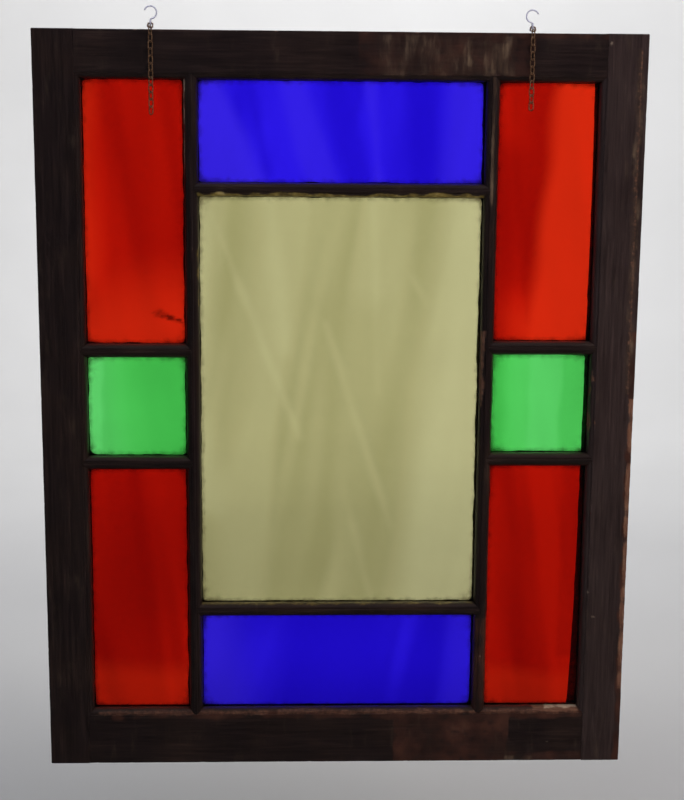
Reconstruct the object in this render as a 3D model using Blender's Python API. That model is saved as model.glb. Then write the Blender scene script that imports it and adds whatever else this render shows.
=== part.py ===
"""A wooden window sash with plain coloured panes, hung from two wire hooks.

The sash is a softwood frame, moulded on its front side and rebated at its back. Two upright glazing
bars run from rail to rail, and six short bars lie between them and the stiles. Nine panes of plain
coloured glass lie in the rebates, each bedded with a fillet of putty. Two screw eyes in the top
edge carry two wire hooks, and a length of oval chain hangs from each hook over the front face.

Axes: +X to the right as seen from the front, the moulded front faces -Y, and +Z is up.
The origin lies midway between the two hooks, at the height where their crowns bear.
"""

import math

import bmesh
import bpy
from mathutils import Matrix, Vector

MM = 0.001

# The sash as a whole
SASH_WIDTH = 762 * MM
SASH_HEIGHT = 955 * MM
SASH_THICKNESS = 35 * MM

# Flat faces of the frame members, measured from the outside to where the moulding starts
STILE_FACE = 51.5 * MM
TOP_RAIL_FACE = 53 * MM
BOTTOM_RAIL_FACE = 68 * MM
ARRIS_RADIUS = 1.5 * MM

# The moulding, which is as wide as the rebate behind it, and the flat front of a glazing bar
MOULDING_WIDTH = 7 * MM
QUIRK_DEPTH = 1.5 * MM
OVOLO_DEPTH = 10 * MM
LEDGE_DEPTH = 14 * MM
BAR_FACE = 4 * MM

# What shows of the panes between the mouldings
LEFT_PANE_WIDTH = 126 * MM
RIGHT_PANE_WIDTH = 124.5 * MM
TOP_PANE_HEIGHT = 125.5 * MM
CENTRE_PANE_HEIGHT = 531 * MM
LEFT_LONG_PANE_HEIGHT = 330 * MM
RIGHT_LONG_PANE_HEIGHT = 325 * MM
SQUARE_PANE_HEIGHT = 128.5 * MM

# Glass and putty
GLASS_THICKNESS = 3 * MM
GLASS_EDGE_ROOM = 1.2 * MM
PUTTY_OVERLAP = 1.5 * MM
PUTTY_LIP = 1.2 * MM
PUTTY_RECESS = 0.5 * MM

# Screw eyes and hooks
HOOK_INSET = 146 * MM
EYE_SETBACK = 5 * MM
EYE_WIRE = 1.6 * MM
EYE_INNER_DIAMETER = 4.2 * MM
EYE_SHANK_LENGTH = 14 * MM
HOOK_WIRE = 1.9 * MM
HOOK_BOW_DIAMETER = 15.2 * MM
HOOK_LOOP_ROOM = 2.5 * MM

# Where the bent wires start and end round their circles, in degrees above level
EYE_START = -55
EYE_END = 230
LOOP_START = 130
LOOP_END = 420
BOW_START = -58
BOW_END = 160

# Chains of oval links
LINK_WIRE = 1.5 * MM
LINK_INNER_WIDTH = 4.8 * MM
LINK_PITCH = 8.7 * MM
LEFT_LINKS = 13
RIGHT_LINKS = 12
CHAIN_STAND_OFF = 4 * MM

# Room left between pieces that touch
FIT_GAP = 0.3 * MM
LINK_GAP = 0.4 * MM

# The first link's slope below level, in degrees, as first tried, and how often it is worked out again
FIRST_SLOPE = 30
SLOPE_TRIES = 8

# How far each link is turned beyond a right angle from the one above, and in all, in degrees
EASE_STEP = 22.5
EASE_LIMIT = 45

# How finely round shapes are drawn
OVOLO_STEPS = 5
ARRIS_STEPS = 3
LINK_END_STEPS = 6
BORE_SIDES = 16
CIRCLE_STEPS = 16
NECK_STEPS = 4
WIRE_RESOLUTION = 2
LINK_RESOLUTION = 1

# Heights above the rail's top edge, from the eye up to the hook's crown
EYE_RADIUS = (EYE_INNER_DIAMETER + EYE_WIRE) / 2
EYE_CENTRE = EYE_RADIUS + EYE_WIRE / 2 + FIT_GAP
LOOP_INNER_RADIUS = (EYE_WIRE + LINK_WIRE + HOOK_LOOP_ROOM) / 2
LOOP_RADIUS = LOOP_INNER_RADIUS + HOOK_WIRE / 2
LOOP_CENTRE = EYE_CENTRE + EYE_RADIUS + LOOP_INNER_RADIUS - EYE_WIRE / 2 - FIT_GAP
BOW_RADIUS = HOOK_BOW_DIAMETER / 2
BOW_CENTRE = LOOP_CENTRE + LOOP_RADIUS + BOW_RADIUS
CROWN_BEARING = BOW_CENTRE + BOW_RADIUS - HOOK_WIRE / 2

# Planes of the sash, and where the hooks stand along it
HOOK_X = SASH_WIDTH / 2 - HOOK_INSET
FRONT = -EYE_SETBACK
TOP = -CROWN_BEARING
BOTTOM = TOP - SASH_HEIGHT
LEFT = -SASH_WIDTH / 2
RIGHT = SASH_WIDTH / 2

# Sight lines of the panes
BAR_WIDTH = BAR_FACE + 2 * MOULDING_WIDTH
SIGHT_LEFT = LEFT + STILE_FACE + MOULDING_WIDTH
SIGHT_RIGHT = RIGHT - STILE_FACE - MOULDING_WIDTH
SIGHT_TOP = TOP - TOP_RAIL_FACE - MOULDING_WIDTH
SIGHT_BOTTOM = BOTTOM + BOTTOM_RAIL_FACE + MOULDING_WIDTH
LEFT_BAR_X = SIGHT_LEFT + LEFT_PANE_WIDTH + BAR_WIDTH / 2
RIGHT_BAR_X = SIGHT_RIGHT - RIGHT_PANE_WIDTH - BAR_WIDTH / 2
LEFT_UPPER_BAR_Z = SIGHT_TOP - LEFT_LONG_PANE_HEIGHT - BAR_WIDTH / 2
LEFT_LOWER_BAR_Z = LEFT_UPPER_BAR_Z - SQUARE_PANE_HEIGHT - BAR_WIDTH
RIGHT_UPPER_BAR_Z = SIGHT_TOP - RIGHT_LONG_PANE_HEIGHT - BAR_WIDTH / 2
RIGHT_LOWER_BAR_Z = RIGHT_UPPER_BAR_Z - SQUARE_PANE_HEIGHT - BAR_WIDTH
CENTRE_UPPER_BAR_Z = SIGHT_TOP - TOP_PANE_HEIGHT - BAR_WIDTH / 2
CENTRE_LOWER_BAR_Z = CENTRE_UPPER_BAR_Z - CENTRE_PANE_HEIGHT - BAR_WIDTH


def clear_scene():
    for old in list(bpy.data.objects):
        bpy.data.objects.remove(old, do_unlink=True)


def make_material(name, colour, roughness, metallic=0.0):
    material = bpy.data.materials.new(name)
    material.use_nodes = True
    shader = material.node_tree.nodes["Principled BSDF"]
    shader.inputs["Base Color"].default_value = (*colour, 1.0)
    shader.inputs["Roughness"].default_value = roughness
    shader.inputs["Metallic"].default_value = metallic
    return material


def add_object(name, data, material):
    thing = bpy.data.objects.new(name, data)
    bpy.context.collection.objects.link(thing)
    if material and material.name not in data.materials:
        data.materials.append(material)
    return thing


def mesh_from(name, bm):
    bmesh.ops.recalc_face_normals(bm, faces=bm.faces)
    mesh = bpy.data.meshes.new(name)
    bm.to_mesh(mesh)
    bm.free()
    return mesh


def arc(centre, radius_across, radius_deep, start, end, steps):
    """Points (across, depth) on an ellipse about centre, from one angle in degrees to another."""
    points = []
    for step in range(steps + 1):
        angle = math.radians(start + (end - start) * step / steps)
        across = centre[0] + radius_across * math.cos(angle)
        depth = centre[1] + radius_deep * math.sin(angle)
        points.append((across, depth))
    return points


def moulded_side(face_edge):
    """One moulded and rebated side of a member: quirk, ovolo, nose, ledge and rebate wall."""
    sight = face_edge + MOULDING_WIDTH
    ovolo_end = QUIRK_DEPTH + OVOLO_DEPTH
    return [
        (face_edge, 0.0),
        *arc((face_edge, ovolo_end), MOULDING_WIDTH, OVOLO_DEPTH, -90, 0, OVOLO_STEPS),
        (sight, LEDGE_DEPTH),
        (face_edge, LEDGE_DEPTH),
        (face_edge, SASH_THICKNESS),
    ]


def frame_outline(face_width):
    """Section of a stile or rail, across it from its outer edge, and back from the front face."""
    radius = ARRIS_RADIUS
    back = SASH_THICKNESS - radius
    return [
        *arc((radius, radius), radius, radius, 180, 270, ARRIS_STEPS),
        *moulded_side(face_width),
        *arc((radius, back), radius, radius, 90, 180, ARRIS_STEPS),
    ]


def bar_outline():
    """Section of a glazing bar, across it from its middle line."""
    one_side = moulded_side(BAR_FACE / 2)
    other_side = [(-across, depth) for across, depth in reversed(one_side)]
    return one_side + other_side


def grown(outline, distance):
    """The outline moved outward by the distance, with mitred corners."""
    corners = [Vector(point) for point in outline]
    count = len(corners)
    area = sum(
        corners[i - 1].x * corners[i].y - corners[i].x * corners[i - 1].y for i in range(count)
    )
    side = 1 if area > 0 else -1
    moved = []
    for i in range(count):
        before = (corners[i] - corners[i - 1]).normalized()
        after = (corners[(i + 1) % count] - corners[i]).normalized()
        normal_before = Vector((before.y, -before.x)) * side
        normal_after = Vector((after.y, -after.x)) * side
        mitre = normal_before + normal_after
        moved.append(corners[i] + mitre * (2 * distance / mitre.length_squared))
    return [(point.x, point.y) for point in moved]


def run_of(outline, upright, base, direction, start, end):
    """The mesh of an outline drawn out along Z, or along X where upright is False."""
    bm = bmesh.new()

    def place(across, depth, along):
        crosswise = base + direction * across
        if upright:
            return (crosswise, FRONT + depth, along)
        return (along, FRONT + depth, crosswise)

    ends = [[bm.verts.new(place(a, d, along)) for a, d in outline] for along in (start, end)]
    for ring in ends:
        bm.faces.new(ring)
    for i in range(len(outline)):
        j = (i + 1) % len(outline)
        bm.faces.new((ends[0][i], ends[0][j], ends[1][j], ends[1][i]))
    return bm


def add_member(name, outline, upright, base, direction, start, end, material):
    mesh = mesh_from(name, run_of(outline, upright, base, direction, start, end))
    return add_object(name, mesh, material)


def add_cutter(name, mesh):
    cutter = add_object(name, mesh, None)
    cutter.hide_render = True
    cutter.display_type = "WIRE"
    return cutter


def add_cope_cutter(name, outline, upright, base, direction):
    """A member's own shape with a fit gap all round it, to cope its neighbours' ends."""
    reach = max(SASH_WIDTH, SASH_HEIGHT)
    bm = run_of(grown(outline, FIT_GAP), upright, base, direction, -2 * reach, 2 * reach)
    return add_cutter(name, mesh_from(name, bm))


def cut(thing, *cutters):
    for cutter in cutters:
        boolean = thing.modifiers.new("cut_by_" + cutter.name, "BOOLEAN")
        boolean.operation = "DIFFERENCE"
        boolean.solver = "EXACT"
        boolean.object = cutter


def add_bore_cutter(name, x):
    """The hole in the top edge that a screw eye's shank fills."""
    depth = EYE_SHANK_LENGTH + FIT_GAP
    bm = bmesh.new()
    bmesh.ops.create_cone(
        bm,
        cap_ends=True,
        segments=BORE_SIDES,
        radius1=EYE_WIRE / 2 + FIT_GAP,
        radius2=EYE_WIRE / 2 + FIT_GAP,
        depth=2 * depth,
        matrix=Matrix.Translation((x, 0.0, TOP)),
    )
    return add_cutter(name, mesh_from(name, bm))


def add_frame(wood):
    """Stiles run the full height, and the rails are coped between them."""
    stile = frame_outline(STILE_FACE)
    top_rail = frame_outline(TOP_RAIL_FACE)
    bottom_rail = frame_outline(BOTTOM_RAIL_FACE)
    add_member("stile_left", stile, True, LEFT, 1, BOTTOM, TOP, wood)
    add_member("stile_right", stile, True, RIGHT, -1, BOTTOM, TOP, wood)
    stile_cutters = (
        add_cope_cutter("cope_stile_left", stile, True, LEFT, 1),
        add_cope_cutter("cope_stile_right", stile, True, RIGHT, -1),
    )
    overlap = MOULDING_WIDTH / 2
    start = LEFT + STILE_FACE - overlap
    end = RIGHT - STILE_FACE + overlap
    upper = add_member("rail_top", top_rail, False, TOP, -1, start, end, wood)
    lower = add_member("rail_bottom", bottom_rail, False, BOTTOM, 1, start, end, wood)
    cut(upper, *stile_cutters)
    cut(lower, *stile_cutters)
    for side, x in (("left", -HOOK_X), ("right", HOOK_X)):
        cut(upper, add_bore_cutter("bore_" + side, x))
    rail_cutters = (
        add_cope_cutter("cope_rail_top", top_rail, False, TOP, -1),
        add_cope_cutter("cope_rail_bottom", bottom_rail, False, BOTTOM, 1),
    )
    return stile_cutters, rail_cutters


def add_glazing_bars(wood, stile_cutters, rail_cutters):
    """Two upright bars from rail to rail, and six short bars between the uprights."""
    outline = bar_outline()
    overlap = MOULDING_WIDTH / 2
    start = BOTTOM + BOTTOM_RAIL_FACE - overlap
    end = TOP - TOP_RAIL_FACE + overlap
    upright_cutters = []
    for side, x in (("left", LEFT_BAR_X), ("right", RIGHT_BAR_X)):
        upright = add_member("muntin_" + side, outline, True, x, 1, start, end, wood)
        cut(upright, *rail_cutters)
        upright_cutters.append(add_cope_cutter("cope_muntin_" + side, outline, True, x, 1))
    spans = {
        "left": (
            LEFT + STILE_FACE - overlap,
            LEFT_BAR_X,
            (stile_cutters[0], upright_cutters[0]),
            (LEFT_UPPER_BAR_Z, LEFT_LOWER_BAR_Z),
        ),
        "centre": (
            LEFT_BAR_X,
            RIGHT_BAR_X,
            upright_cutters,
            (CENTRE_UPPER_BAR_Z, CENTRE_LOWER_BAR_Z),
        ),
        "right": (
            RIGHT_BAR_X,
            RIGHT - STILE_FACE + overlap,
            (upright_cutters[1], stile_cutters[1]),
            (RIGHT_UPPER_BAR_Z, RIGHT_LOWER_BAR_Z),
        ),
    }
    for place, (left_end, right_end, cutters, heights) in spans.items():
        for level, z in zip(("upper", "lower"), heights):
            name = f"bar_{place}_{level}"
            bar = add_member(name, outline, False, z, 1, left_end, right_end, wood)
            cut(bar, *cutters)


def pane_openings():
    """Each pane's name, colour and sight rectangle: left, right, bottom and top."""
    half = BAR_WIDTH / 2
    columns = {
        "left": (SIGHT_LEFT, LEFT_BAR_X - half),
        "centre": (LEFT_BAR_X + half, RIGHT_BAR_X - half),
        "right": (RIGHT_BAR_X + half, SIGHT_RIGHT),
    }
    levels = {
        "left": (LEFT_UPPER_BAR_Z, LEFT_LOWER_BAR_Z),
        "centre": (CENTRE_UPPER_BAR_Z, CENTRE_LOWER_BAR_Z),
        "right": (RIGHT_UPPER_BAR_Z, RIGHT_LOWER_BAR_Z),
    }
    kinds = {
        "left": (("upper_left", "red"), ("left", "green"), ("lower_left", "red")),
        "centre": (("top", "blue"), ("centre", "pale"), ("bottom", "blue")),
        "right": (("upper_right", "red"), ("right", "green"), ("lower_right", "red")),
    }
    openings = []
    for column, panes in kinds.items():
        upper, lower = levels[column]
        rows = (
            (upper + half, SIGHT_TOP),
            (lower + half, upper - half),
            (SIGHT_BOTTOM, lower - half),
        )
        for (place, colour), row in zip(panes, rows):
            openings.append((f"{colour}_{place}", colour, columns[column] + row))
    return openings


def add_pane(name, opening, material):
    """Flat glass that reaches into the rebate on all four sides."""
    left, right, bottom, top = opening
    reach = MOULDING_WIDTH - GLASS_EDGE_ROOM
    near = FRONT + LEDGE_DEPTH + FIT_GAP
    far = near + GLASS_THICKNESS
    low = Vector((left - reach, near, bottom - reach))
    high = Vector((right + reach, far, top + reach))
    size = high - low
    bm = bmesh.new()
    place = Matrix.Translation((low + high) / 2) @ Matrix.Diagonal((*size, 1.0))
    bmesh.ops.create_cube(bm, size=1.0, matrix=place)
    return add_object(name, mesh_from(name, bm), material)


def add_putty(name, opening, material):
    """A four-sided fillet behind the glass, sloping from the rebate wall to past the sight line."""
    left, right, bottom, top = opening
    reach = MOULDING_WIDTH - FIT_GAP
    near = FRONT + LEDGE_DEPTH + GLASS_THICKNESS + 2 * FIT_GAP
    far = FRONT + SASH_THICKNESS - PUTTY_RECESS
    section = (
        (0.0, near),
        (0.0, far),
        (PUTTY_LIP, far),
        (reach + PUTTY_OVERLAP, near),
    )
    bm = bmesh.new()
    corners = []
    for inset, y in section:
        shift = reach - inset
        x_low, x_high = left - shift, right + shift
        z_low, z_high = bottom - shift, top + shift
        rectangle = ((x_low, z_low), (x_high, z_low), (x_high, z_high), (x_low, z_high))
        corners.append([bm.verts.new((x, y, z)) for x, z in rectangle])
    for i in range(len(section)):
        j = (i + 1) % len(section)
        for k in range(4):
            m = (k + 1) % 4
            bm.faces.new((corners[i][k], corners[i][m], corners[j][m], corners[j][k]))
    return add_object(name, mesh_from(name, bm), material)


def wire_curve(name, points, wire, resolution, closed=False):
    """A round wire along points."""
    curve = bpy.data.curves.new(name, "CURVE")
    curve.dimensions = "3D"
    curve.bevel_depth = wire / 2
    curve.bevel_resolution = resolution
    curve.use_fill_caps = not closed
    spline = curve.splines.new("POLY")
    spline.points.add(len(points) - 1)
    for target, point in zip(spline.points, points):
        target.co = (*point, 1.0)
    spline.use_cyclic_u = closed
    spline.use_smooth = True
    return curve


def circle_part(centre, sideways, radius, start, end, steps):
    """Points on an upright circle, from one angle to another, with 0 degrees along sideways."""
    points = []
    for step in range(steps + 1):
        angle = math.radians(start + (end - start) * step / steps)
        upward = Vector((0.0, 0.0, radius * math.sin(angle)))
        points.append(centre + sideways * (radius * math.cos(angle)) + upward)
    return points


def bridge(start, start_way, end, end_way, steps):
    """Points between two ends on a smooth curve that leaves and arrives in the given ways."""
    span = (end - start).length
    points = []
    for step in range(1, steps):
        t = step / steps
        points.append(
            start * (2 * t**3 - 3 * t**2 + 1)
            + start_way * span * (t**3 - 2 * t**2 + t)
            + end * (3 * t**2 - 2 * t**3)
            + end_way * span * (t**3 - t**2)
        )
    return points


def add_screw_eye(name, x, metal):
    """A shank in the top edge, bent at its upper end into a ring that faces the front."""
    foot = Vector((x, 0.0, TOP - EYE_SHANK_LENGTH))
    neck = Vector((x, 0.0, TOP + EYE_WIRE / 2))
    centre = Vector((x, 0.0, TOP + EYE_CENTRE))
    sideways = Vector((1.0, 0.0, 0.0))
    ring = circle_part(centre, sideways, EYE_RADIUS, EYE_START, EYE_END, CIRCLE_STEPS)
    points = [foot, neck, *ring]
    add_object(name, wire_curve(name, points, EYE_WIRE, WIRE_RESOLUTION), metal)


def add_hook(name, x, outward, metal):
    """A wire hook: a small loop through the eye's ring, and a wide bow turned a quarter from it."""
    inward = Vector((-outward, 0.0, 0.0))
    backward = Vector((0.0, 1.0, 0.0))
    loop_centre = Vector((x, 0.0, TOP + LOOP_CENTRE))
    bow_centre = Vector((x, 0.0, TOP + BOW_CENTRE))
    loop = circle_part(loop_centre, backward, LOOP_RADIUS, LOOP_START, LOOP_END, CIRCLE_STEPS)
    bow = circle_part(bow_centre, inward, BOW_RADIUS, BOW_START, BOW_END, CIRCLE_STEPS)
    loop_way = (loop[-1] - loop[-2]).normalized()
    bow_way = (bow[1] - bow[0]).normalized()
    neck = bridge(loop[-1], loop_way, bow[0], bow_way, NECK_STEPS)
    points = loop + neck + bow
    add_object(name, wire_curve(name, points, HOOK_WIRE, WIRE_RESOLUTION), metal)


def link_curve(name):
    """An oval link in its own XZ plane, long way up, about its middle."""
    end_radius = (LINK_INNER_WIDTH + LINK_WIRE) / 2
    half_straight = (LINK_PITCH + LINK_GAP + LINK_WIRE) / 2 - end_radius
    sideways = Vector((1.0, 0.0, 0.0))
    upper_centre = Vector((0.0, 0.0, half_straight))
    lower_centre = Vector((0.0, 0.0, -half_straight))
    upper = circle_part(upper_centre, sideways, end_radius, 0, 180, LINK_END_STEPS)
    lower = circle_part(lower_centre, sideways, end_radius, 180, 360, LINK_END_STEPS)
    return wire_curve(name, upper + lower, LINK_WIRE, LINK_RESOLUTION, closed=True)


def chain_ends(x, count):
    """Each link's upper and lower end, as the middles of its wire there.

    The first link slopes out from the hook's loop over the arris, and the others hang straight.
    """
    link_length = LINK_PITCH + LINK_GAP + LINK_WIRE
    seat_radius = LOOP_INNER_RADIUS - LINK_WIRE / 2 - FIT_GAP
    hang_y = FRONT - CHAIN_STAND_OFF
    slope = math.radians(FIRST_SLOPE)
    for _ in range(SLOPE_TRIES):
        seat = Vector((x, 0.0, TOP + LOOP_CENTRE))
        seat += Vector((0.0, -math.cos(slope), -math.sin(slope))) * seat_radius
        bend = math.pi / 2 - slope
        joint_step = (LINK_WIRE / 2 + LINK_GAP) / math.cos(bend / 2)
        run = min(1.0, (seat.y - hang_y) / (link_length - joint_step))
        slope = math.acos(run)
    way = Vector((0.0, -math.cos(slope), -math.sin(slope)))
    down = Vector((0.0, 0.0, -1.0))
    ends = [(seat, seat + way * link_length)]
    joint = ends[0][1] - way * joint_step
    upper = joint - down * joint_step
    for _ in range(count - 1):
        ends.append((upper, upper + down * link_length))
        upper = ends[-1][1] - down * (LINK_WIRE + LINK_GAP)
    return ends


def add_chain(name, x, outward, count, curve):
    """Links turned by a right angle from one to the next, and eased to lie slantwise."""
    for index, (upper, lower) in enumerate(chain_ends(x, count)):
        ease = math.radians(min(EASE_LIMIT, EASE_STEP * index))
        turn = index * math.pi / 2 + ease
        up = (upper - lower).normalized()
        across = Vector((1.0, 0.0, 0.0))
        deep = up.cross(across)
        width_way = across * math.cos(turn) + deep * (outward * math.sin(turn))
        thick_way = up.cross(width_way)
        rotation = Matrix((width_way, thick_way, up)).transposed().to_4x4()
        link = bpy.data.objects.new(f"{name}_{index + 1:02d}", curve)
        link.matrix_world = Matrix.Translation((upper + lower) / 2) @ rotation
        bpy.context.collection.objects.link(link)


def build():
    clear_scene()
    wood = make_material("stained_softwood", (0.022, 0.013, 0.010), 0.55)
    putty = make_material("old_putty", (0.16, 0.12, 0.085), 0.9)
    zinc = make_material("zinc_wire", (0.55, 0.56, 0.58), 0.35, 1.0)
    brass = make_material("dull_brass", (0.28, 0.19, 0.10), 0.45, 1.0)
    glass = {
        "red": make_material("red_glass", (0.55, 0.01, 0.0), 0.05),
        "green": make_material("green_glass", (0.04, 0.45, 0.08), 0.05),
        "blue": make_material("blue_glass", (0.02, 0.01, 0.65), 0.05),
        "pale": make_material("pale_glass", (0.50, 0.52, 0.28), 0.05),
    }
    stile_cutters, rail_cutters = add_frame(wood)
    add_glazing_bars(wood, stile_cutters, rail_cutters)
    for place, colour, opening in pane_openings():
        add_pane("glass_" + place, opening, glass[colour])
        add_putty("putty_" + place, opening, putty)
    link = link_curve("chain_link")
    link.materials.append(brass)
    for side, outward, count in (("left", -1, LEFT_LINKS), ("right", 1, RIGHT_LINKS)):
        x = outward * HOOK_X
        add_screw_eye("screw_eye_" + side, x, zinc)
        add_hook("hook_" + side, x, outward, zinc)
        add_chain("chain_" + side, x, outward, count, link)


build()
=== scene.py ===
"""The looks of a wooden window sash with plain coloured panes, hung from two wire hooks.

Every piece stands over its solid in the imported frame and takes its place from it: worn softwood members
under a dark stain, slightly wavy sheet glass, hand-knifed putty behind it, and bent wire hooks and links.

Axes: +X to the right as seen from the front, the moulded front faces -Y, and +Z is up. Metres.
"""

import math
from collections import namedtuple

import bmesh
import bpy
import numpy as np
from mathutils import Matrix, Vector, noise


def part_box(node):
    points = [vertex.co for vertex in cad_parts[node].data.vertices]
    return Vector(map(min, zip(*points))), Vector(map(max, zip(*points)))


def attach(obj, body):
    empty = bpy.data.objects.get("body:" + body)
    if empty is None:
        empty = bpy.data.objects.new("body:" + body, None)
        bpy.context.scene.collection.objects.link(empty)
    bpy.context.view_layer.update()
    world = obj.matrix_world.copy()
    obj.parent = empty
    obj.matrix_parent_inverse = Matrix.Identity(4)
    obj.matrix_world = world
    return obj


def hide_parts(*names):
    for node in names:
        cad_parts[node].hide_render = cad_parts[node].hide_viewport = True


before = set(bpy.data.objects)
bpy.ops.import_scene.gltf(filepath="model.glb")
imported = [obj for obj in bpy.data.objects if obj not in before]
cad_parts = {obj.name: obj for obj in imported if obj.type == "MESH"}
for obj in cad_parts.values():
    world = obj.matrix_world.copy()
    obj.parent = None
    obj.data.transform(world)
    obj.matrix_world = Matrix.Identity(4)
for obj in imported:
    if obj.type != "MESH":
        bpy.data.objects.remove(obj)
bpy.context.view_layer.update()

MM = 0.001

# Where the camera stands, how it is turned, in degrees, and its lens on a sensor 36 mm high
CAMERA_PLACE = (-0.0622, -1.897, -0.1387)
CAMERA_TURN = (79.564, -0.458, -1.896)
CAMERA_LENS = 67.5
SENSOR_HEIGHT = 36.0

# The round pale room that stands in for a studio
FLOOR_Z = -1.24
ROOM_RADIUS = 5.0
COVE_RADIUS = 1.6
WALL_TOP = 3.2
ROOM_SIDES = 96
COVE_STEPS = 16

# The members' section: moulding, ledge and arrises
SASH_THICKNESS = 35 * MM
MOULDING_WIDTH = 7 * MM
QUIRK_DEPTH = 1.5 * MM
OVOLO_DEPTH = 10 * MM
LEDGE_DEPTH = 14 * MM
ARRIS_RADIUS = 1.5 * MM
ARRIS_GAP = 1.2 * MM
QUIRK_SOFTNESS = 0.4 * MM
NOSE_SOFTNESS = 0.3 * MM
LEDGE_START = 2 * MM
WALL_START = 0.5 * MM

# A stile's sawn ends: where the rings next to each end stand, and how far the last ones are drawn in
END_PLACES = (0.4 * MM, 1.2 * MM)
END_INSETS = (0.9 * MM, 0.3 * MM)

# How finely wood is drawn, along and across
RING_SPACING = 2.5 * MM
FACE_SPACING = 3 * MM
BACK_SPACING = 6 * MM

# Wear of the wood: how far flats sink, arrises are rubbed and knocks go in, and how wide each is
FLAT_SINK = 0.22 * MM
SINK_SIZE = 45 * MM
ARRIS_RUB = 0.35 * MM
RUB_SIZE = 22 * MM
KNOCK_DEPTH = 1.3 * MM
KNOCK_SIZE = 7 * MM
KNOCK_RARITY = 0.38
ARRIS_REACH = 2.2 * MM
MARK_SOFTNESS = 4.5 * MM
MARK_GRAIN = 6 * MM
JOINT_CLOSE = 0.3 * MM

# Glass and putty
GLASS_CELL = 4 * MM
GLASS_WAVE = 0.07 * MM
WAVE_SIZE = 38 * MM
# How far grime and painted shade reach in from the panes' edges and corners, and how strongly they show
EDGE_DARKENING = 3.5 * MM
EDGE_DARKENING_SHOWS = 0.7
CORNER_DARKENING = 16 * MM
CORNER_DARKENING_SHOWS = 0.5
WALL_TO_SIGHT = 6.7 * MM
PUTTY_OVER_TOP = 0.3 * MM
PUTTY_OVER_BOTTOM = 0.3 * MM
PUTTY_OVER_LEFT = 0.6 * MM
PUTTY_OVER_RIGHT = 2.0 * MM
PUTTY_SMEAR = 5.5 * MM
PUTTY_SMEAR_ENDS = 105 * MM
SMEAR_MIDDLE = 0.45
PUTTY_LEAST = 0.2 * MM
PUTTY_RAGGED = 1.3 * MM
PUTTY_WANDER = 28 * MM
PUTTY_LUMP = 12 * MM
PUTTY_CRUMB = 5 * MM
SLOPE_LUMP = 9 * MM
SLOPE_BULGE = 0.35
SLOPE_FULL = 0.96
SLOPE_UNEVEN = 0.06
SLOPE_SHARES = (0.0, 0.04, 0.12, 0.25, 0.40, 0.55, 0.70, 0.83)
PUTTY_CORNER = 5 * MM
PUTTY_LIP = 1.2 * MM
PUTTY_STEP = 3 * MM
RIGHT_COLUMN = 250 * MM

# Wires, as in the solids
HOOK_X = 235 * MM
EYE_WIRE = 1.6 * MM
EYE_RADIUS = 2.9 * MM
EYE_HEIGHT = 4.0 * MM
EYE_SHANK = 14 * MM
HOOK_WIRE = 1.9 * MM
LOOP_RADIUS = 3.75 * MM
LOOP_HEIGHT = 8.6 * MM
BOW_RADIUS = 7.6 * MM
BOW_HEIGHT = 19.95 * MM
LINK_WIRE = 1.48 * MM
LINK_WIDTH = 4.8 * MM
LINK_LENGTH = 10.6 * MM
LINK_JOINT = 0.12 * MM

# Between which angles, in degrees, rings and bows are bent, and how a cut end narrows to its tip
EYE_TURN = (-55, 230)
LOOP_TURN = (130, 420)
BOW_TURN = (-58, 160)
TIP_PLACES = (0.0, 0.12, 0.3)
TIP_SIZES = (0.45, 0.78, 0.94)

root = "root"
sash_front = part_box("stile_left")[0].y
sash_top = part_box("stile_left")[1].z
sash_height = sash_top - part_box("stile_left")[0].z


def linear(colour):
    """An sRGB hex colour as linear red, green, blue and alpha."""
    parts = [int(colour[place : place + 2], 16) / 255 for place in (1, 3, 5)]
    return (*[v / 12.92 if v <= 0.04045 else ((v + 0.055) / 1.055) ** 2.4 for v in parts], 1.0)


def add(tree, kind, settings=None, inputs=None, stops=None):
    """Adds a node, gives it its settings and ramp stops, and links or fills its inputs."""
    made = tree.nodes.new("ShaderNode" + kind)
    for name, value in (settings or {}).items():
        setattr(made, name, value)
    if stops:
        ends = made.color_ramp.elements
        ends[0].position, ends[0].color = stops[0][0], linear(stops[0][1])
        ends[-1].position, ends[-1].color = stops[-1][0], linear(stops[-1][1])
        for place, colour in stops[1:-1]:
            ends.new(place).color = linear(colour)
    for name, value in (inputs or {}).items():
        if isinstance(value, bpy.types.NodeSocket):
            tree.links.new(value, made.inputs[name])
        else:
            made.inputs[name].default_value = value
    return made


def new_material(name):
    material = bpy.data.materials.new(name)
    material.use_nodes = True
    tree = material.node_tree
    return material, tree, tree.nodes["Principled BSDF"]


def maths(tree, operation, *values):
    """One step of arithmetic on plain numbers or on what other nodes give."""
    return add(tree, "Math", {"operation": operation}, dict(enumerate(values))).outputs[0]


def spread(tree, value, start, end, low=0.0, high=1.0, way="LINEAR"):
    """A value's span from start to end, mapped to the span from low to high and held beyond it."""
    inputs = {"Value": value, "From Min": start, "From Max": end, "To Min": low, "To Max": high}
    return add(tree, "MapRange", {"interpolation_type": way}, inputs).outputs[0]


def ramp(tree, value, *stops):
    """A colour that follows a value through stops, each a place and a colour."""
    return add(tree, "ValToRGB", None, {"Fac": value}, stops).outputs["Color"]


def stretched(tree, place, *sizes):
    """The place divided by a pattern's sizes along X, Y and Z."""
    scale = tuple(1 / size for size in sizes)
    return add(tree, "Mapping", None, {"Vector": place, "Scale": scale}).outputs[0]


def pattern(tree, place, size, detail, **more):
    """Cloudy noise of one size, from 0 to 1. Stretched places already hold their size, so it is 1."""
    inputs = {"Vector": place, "Scale": 1 / size, "Detail": detail, **more}
    return add(tree, "TexNoise", None, inputs).outputs["Fac"]


def add_bump(tree, shader, strength, distance, height):
    bump = add(tree, "Bump", None, {"Strength": strength, "Distance": distance, "Height": height})
    tree.links.new(bump.outputs[0], shader.inputs["Normal"])


def painted(tree, mask):
    return add(tree, "Attribute", {"attribute_name": mask}).outputs["Fac"]


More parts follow.
